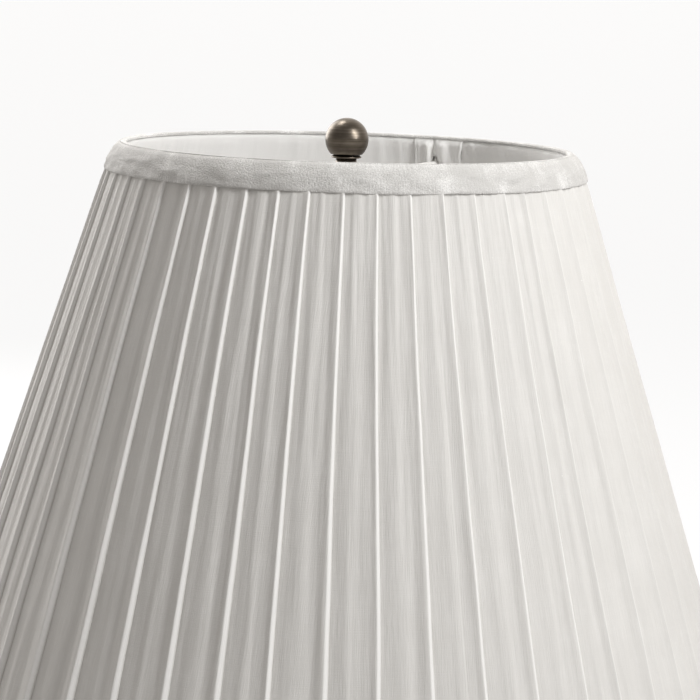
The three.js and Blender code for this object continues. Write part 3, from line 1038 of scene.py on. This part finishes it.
for end, face, inward, seed in (("top", shade_top, -1, 3), ("bottom", 0, 1, 9)):
    strip = trim(f"{end}_trim_strip", f"{end}_trim", face, inward, seed)
    piece = belongs(strip, "shade", "linen", f"{end}_trim")
    around = math.tau * (fold_line(face) + TRIM_PROUD) * (360 + TRIM_OVERLAP) / 360

middle = (lining_low + lining_high) / 2
for i in range(2):
    piece = belongs(lining_half(i), "shade", "lining", f"lining_half_{i + 1}")
    math.pi * lining_face(middle)

for i in range(len(ARM_ANGLES)):
    piece = belongs(neatener(i), "shade", "lining", f"arm_neatener_{i + 1}")
    belongs(arm(i), "shade", "frame", f"spider_arm_{i + 1}")

belongs(ring("top_ring_wire", top_radius, top_z), "shade", "frame", "top_ring")
belongs(ring("bottom_ring_wire", bottom_radius, bottom_z), "shade", "frame", "bottom_ring")
for i in range(RIBS):
    belongs(rib(i), "shade", "frame", f"rib_{i + 1}")
for end, radius, z in (("top", top_radius, top_z), ("bottom", bottom_radius, bottom_z)):
    binding = ring_tape(f"{end}_binding", radius, z, TAPE_MIDDLES[end])
    piece = belongs(binding, "shade", "tape", f"{end}_ring_tape")
belongs(washer(), "shade", "frame", "spider_washer")
belongs(ball(), "finial", "finial", "finial_ball")
belongs(collar(), "finial", "finial", "finial_collar")
belongs(foot(), "finial", "finial", "finial_foot")
belongs(bush(), "finial", "finial", "finial_bush")


# ---- Floor, light and camera ----

def pale_floor():
    """A wide floor that glows a little, and more for the camera than for the light it throws back."""
    bm = bmesh.new()
    bmesh.ops.create_circle(bm, cap_ends=True, radius=FLOOR_RADIUS, segments=64)
    finish = Finish("pale_floor")
    finish.set(Base_Color=FLOOR_COLOUR, Roughness=0.9)
    seen = finish.add("ShaderNodeLightPath").outputs["Is Camera Ray"]
    finish.join(finish.ramp(seen, FLOOR_GLOWS), finish.shader.inputs["Emission Color"])
    glow = finish.blend(seen, FLOOR_GLOW, FLOOR_GLOW + FLOOR_LIFT)
    finish.join(glow, finish.shader.inputs["Emission Strength"])
    floor = finished("floor", bm, finish.material, smooth=False)
    floor.location.z = -FLOOR_DROP


def studio():
    """A white room: bright behind the shade and dimmer in front of it."""
    world = bpy.data.worlds.new("studio")
    bpy.context.scene.world = world
    world.use_nodes = True
    tree = world.node_tree
    tree.nodes.clear()
    out = tree.nodes.new("ShaderNodeOutputWorld")
    seen = tree.nodes.new("ShaderNodeBackground")
    seen.inputs["Color"].default_value = WHITE
    seen.inputs["Strength"].default_value = ROOM_SEEN
    room = tree.nodes.new("ShaderNodeBackground")
    room.inputs["Color"].default_value = ROOM_WARMTH
    place = tree.nodes.new("ShaderNodeTexCoord")
    split = tree.nodes.new("ShaderNodeSeparateXYZ")
    grade = tree.nodes.new("ShaderNodeMapRange")
    grade.interpolation_type = "SMOOTHSTEP"
    grade.inputs["From Min"].default_value = ROOM_NEAR_Y
    grade.inputs["From Max"].default_value = ROOM_FAR_Y
    grade.inputs["To Min"].default_value = ROOM_FRONT
    grade.inputs["To Max"].default_value = ROOM_BACK
    path = tree.nodes.new("ShaderNodeLightPath")
    mix = tree.nodes.new("ShaderNodeMixShader")
    tree.links.new(place.outputs["Generated"], split.inputs[0])
    tree.links.new(split.outputs["Y"], grade.inputs["Value"])
    tree.links.new(grade.outputs[0], room.inputs["Strength"])
    tree.links.new(path.outputs["Is Camera Ray"], mix.inputs["Fac"])
    tree.links.new(room.outputs[0], mix.inputs[1])
    tree.links.new(seen.outputs[0], mix.inputs[2])
    tree.links.new(mix.outputs[0], out.inputs["Surface"])


def softbox(name, azimuth, elevation, distance, width, height, power):
    """A softbox aimed at the upper part of the shade."""
    light = bpy.data.lights.new(name, "AREA")
    light.shape = "RECTANGLE"
    light.size = width
    light.size_y = height
    light.energy = power
    lamp = bpy.data.objects.new(name, light)
    turn, up = math.radians(azimuth), math.radians(elevation)
    towards = Vector((math.sin(turn) * math.cos(up), -math.cos(turn) * math.cos(up), math.sin(up)))
    lamp.location = Vector((0, 0, SOFTBOX_AIM * shade_top)) + towards * distance
    lamp.rotation_euler = towards.to_track_quat("Z", "Y").to_euler()
    bpy.context.scene.collection.objects.link(lamp)


def camera():
    """A long lens straight in front of the shade and above its rim, tipped down at its upper half."""
    rim = fold_line(shade_top)
    data = bpy.data.cameras.new("camera")
    data.sensor_width = SENSOR_WIDTH
    data.lens = LENS
    data.clip_end = VIEW_END
    eye = bpy.data.objects.new("camera", data)
    eye.location = (0, -EYE_BACK * rim, shade_top + EYE_UP * rim)
    turns = [Matrix.Rotation(math.radians(angle), 3, axis) for angle, axis in EYE_TURNS]
    eye.rotation_euler = (turns[0] @ turns[1] @ turns[2]).to_euler()
    bpy.context.scene.collection.objects.link(eye)
    bpy.context.scene.camera = eye


pale_floor()
studio()
softbox("key", *KEY)
softbox("rim", *RIM)
softbox("overhead", *OVERHEAD)
camera()
bpy.context.scene.view_settings.view_transform = "Standard"
